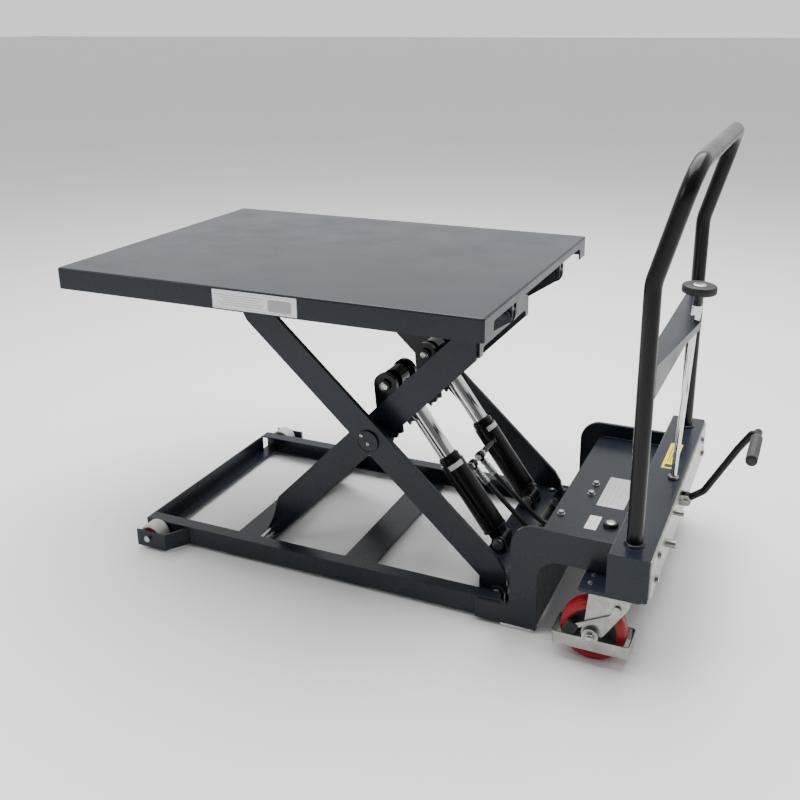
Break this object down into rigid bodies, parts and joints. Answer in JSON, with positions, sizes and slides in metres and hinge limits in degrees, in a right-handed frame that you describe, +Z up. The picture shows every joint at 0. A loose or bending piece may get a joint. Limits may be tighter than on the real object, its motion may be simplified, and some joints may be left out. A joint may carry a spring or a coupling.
{
  "type": "mobile scissor lift table",
  "caption": "Mobile hydraulic scissor lift table with a flat steel platform, crossed arms, twin cylinders, push handle, foot pedal, release knob, casters and front rollers.",
  "frame": {"origin": "on the floor under the middle of the whole table, handle included", "axes": "+X along the length towards the push handle, +Z up, +Y towards the side away from the pedal's grip"},
  "size_m": [1.776, 0.888, 1.201],
  "materials": {
    "painted_steel": "gloss",
    "black_paint": "gloss",
    "zinc": "satin",
    "chrome": "polished",
    "steel": "satin",
    "hose": "satin",
    "tyre": "satin",
    "roller": "satin",
    "knob": "matte",
    "grip": "matte"
  },
  "bodies": {
    "base": {"arm_pivot_brackets": "painted_steel", "back_plate": "zinc", "base_pins": "steel", "base_rail_far": "painted_steel", "base_rail_near": "painted_steel", "caster_plates": "painted_steel", "cover_plate": "painted_steel", "cross_plates": "painted_steel", "cylinder_mount": "painted_steel", "end_member": "painted_steel", "filler_cap": "knob", "frame_bolts": "steel", "gooseneck_wall": "painted_steel", "handle_bracket": "painted_steel", "hose_lower_far": "hose", "hose_lower_near": "hose", "mount_webs": "painted_steel", "pump_unit": "black_paint", "push_handle": "black_paint", "rear_beam": "painted_steel", "roller_bolts": "steel", "roller_brackets": "painted_steel", "side_plate_far": "painted_steel", "side_plate_near": "painted_steel"},
    "outer_arms": {"outer_arm_near": "painted_steel", "outer_arm_far": "painted_steel", "outer_roller_axle": "steel", "centre_pins": "painted_steel"},
    "inner_arms": {"inner_arm_near": "painted_steel", "inner_arm_far": "painted_steel", "inner_cross_beam": "painted_steel", "cylinder_lugs": "black_paint", "inner_end_plate": "painted_steel", "inner_roller_axle": "steel"},
    "platform": {"platform_deck": "painted_steel", "platform_tracks": "painted_steel", "platform_brackets": "painted_steel", "platform_pins": "painted_steel"},
    "release": {"release_rod": "chrome", "release_knob": "knob"},
    "pedal": {"pedal_lever": "black_paint", "pedal_grip": "grip"},
    "upper_roller_near_body": {"upper_roller_near": "steel"},
    "lower_roller_near_body": {"lower_roller_near": "steel"},
    "front_roller_near_body": {"front_roller_near": "roller"},
    "barrel_near": {"cylinder_barrel_near": "black_paint", "hose_upper_near": "hose"},
    "rod_near": {"cylinder_rod_near": "chrome"},
    "caster_near": {"caster_fork_near": "zinc"},
    "wheel_near": {"caster_wheel_near": "tyre"},
    "brake_near": {"brake_lever_near": "zinc"},
    "upper_roller_far_body": {"upper_roller_far": "steel"},
    "lower_roller_far_body": {"lower_roller_far": "steel"},
    "front_roller_far_body": {"front_roller_far": "roller"},
    "barrel_far": {"cylinder_barrel_far": "black_paint", "hose_upper_far": "hose"},
    "rod_far": {"cylinder_rod_far": "chrome"},
    "caster_far": {"caster_fork_far": "zinc"},
    "wheel_far": {"caster_wheel_far": "tyre"},
    "brake_far": {"brake_lever_far": "zinc"}
  },
  "joints": [
    {"name": "scissor_lift", "type": "hinge", "parent": "base", "child": "outer_arms", "pos_m": [0.3024, 0, 0.054], "axis": [0, 1, 0], "range_deg": [-34, 0]},
    {"name": "centre_pivot", "type": "hinge", "parent": "outer_arms", "child": "inner_arms", "pos_m": [-0.0657, 0, 0.4095], "axis": [0, 1, 0], "range_deg": [0, 68.8]},
    {"name": "platform_pivot", "type": "hinge", "parent": "inner_arms", "child": "platform", "pos_m": [0.2853, 0, 0.782], "axis": [0, 1, 0], "range_deg": [-34.8, 0]},
    {"name": "upper_roller_near_spin", "type": "hinge", "parent": "outer_arms", "child": "upper_roller_near_body", "pos_m": [-0.4339, -0.2965, 0.765], "axis": [0, 1, 0], "continuous": true},
    {"name": "lower_roller_near_spin", "type": "hinge", "parent": "inner_arms", "child": "lower_roller_near_body", "pos_m": [-0.4167, -0.3115, 0.037], "axis": [0, 1, 0], "continuous": true},
    {"name": "front_roller_near_spin", "type": "hinge", "parent": "base", "child": "front_roller_near_body", "pos_m": [-0.725, -0.359, 0.036], "axis": [0, 1, 0], "continuous": true},
    {"name": "barrel_near_swing", "type": "hinge", "parent": "base", "child": "barrel_near", "pos_m": [0.261, -0.13, 0.119], "axis": [0, 1, 0], "range_deg": [-35.69, 0]},
    {"name": "rod_near_slide", "type": "slide", "parent": "barrel_near", "child": "rod_near", "axis": [-0.5888, 0, 0.8083], "range_m": [-0.1329, 0]},
    {"name": "caster_near_swivel", "type": "hinge", "parent": "base", "child": "caster_near", "pos_m": [0.617, -0.368, 0.195], "axis": [0, 0, 1], "continuous": true},
    {"name": "wheel_near_spin", "type": "hinge", "parent": "caster_near", "child": "wheel_near", "pos_m": [0.574, -0.368, 0.08], "axis": [0, 1, 0], "continuous": true},
    {"name": "brake_near_press", "type": "hinge", "parent": "caster_near", "child": "brake_near", "pos_m": [0.632, -0.4, 0.162], "axis": [0, 1, 0], "range_deg": [0, 18]},
    {"name": "upper_roller_far_spin", "type": "hinge", "parent": "outer_arms", "child": "upper_roller_far_body", "pos_m": [-0.4339, 0.2965, 0.765], "axis": [0, 1, 0], "continuous": true},
    {"name": "lower_roller_far_spin", "type": "hinge", "parent": "inner_arms", "child": "lower_roller_far_body", "pos_m": [-0.4167, 0.3115, 0.037], "axis": [0, 1, 0], "continuous": true},
    {"name": "front_roller_far_spin", "type": "hinge", "parent": "base", "child": "front_roller_far_body", "pos_m": [-0.725, 0.359, 0.036], "axis": [0, 1, 0], "continuous": true},
    {"name": "barrel_far_swing", "type": "hinge", "parent": "base", "child": "barrel_far", "pos_m": [0.261, 0.13, 0.119], "axis": [0, 1, 0], "range_deg": [-35.69, 0]},
    {"name": "rod_far_slide", "type": "slide", "parent": "barrel_far", "child": "rod_far", "axis": [-0.5888, 0, 0.8083], "range_m": [-0.1329, 0]},
    {"name": "caster_far_swivel", "type": "hinge", "parent": "base", "child": "caster_far", "pos_m": [0.617, 0.368, 0.195], "axis": [0, 0, 1], "continuous": true},
    {"name": "wheel_far_spin", "type": "hinge", "parent": "caster_far", "child": "wheel_far", "pos_m": [0.574, 0.368, 0.08], "axis": [0, 1, 0], "continuous": true},
    {"name": "brake_far_press", "type": "hinge", "parent": "caster_far", "child": "brake_far", "pos_m": [0.632, 0.4, 0.162], "axis": [0, 1, 0], "range_deg": [0, 18]},
    {"name": "release_turn", "type": "hinge", "parent": "base", "child": "release", "pos_m": [0.679, 0.005, 0.319], "axis": [0.0467, 0, 0.9989], "range_deg": [0, 90]},
    {"name": "pedal_press", "type": "hinge", "parent": "base", "child": "pedal", "pos_m": [0.72, -0.015, 0.278], "axis": [0, 1, 0], "range_deg": [0, 28], "stiffness_Nm_per_rad": 12, "springref_deg": -28.65}
  ],
  "couplings": [
    {"joint": "centre_pivot", "follows": "scissor_lift", "ratio": -2.022},
    {"joint": "platform_pivot", "follows": "scissor_lift", "ratio": 1.022},
    {"joint": "barrel_near_swing", "follows": "scissor_lift", "ratio": 1.0481},
    {"joint": "rod_near_slide", "follows": "scissor_lift", "m_per_rad": 0.2234},
    {"joint": "barrel_far_swing", "follows": "scissor_lift", "ratio": 1.0481},
    {"joint": "rod_far_slide", "follows": "scissor_lift", "m_per_rad": 0.2234}
  ]
}
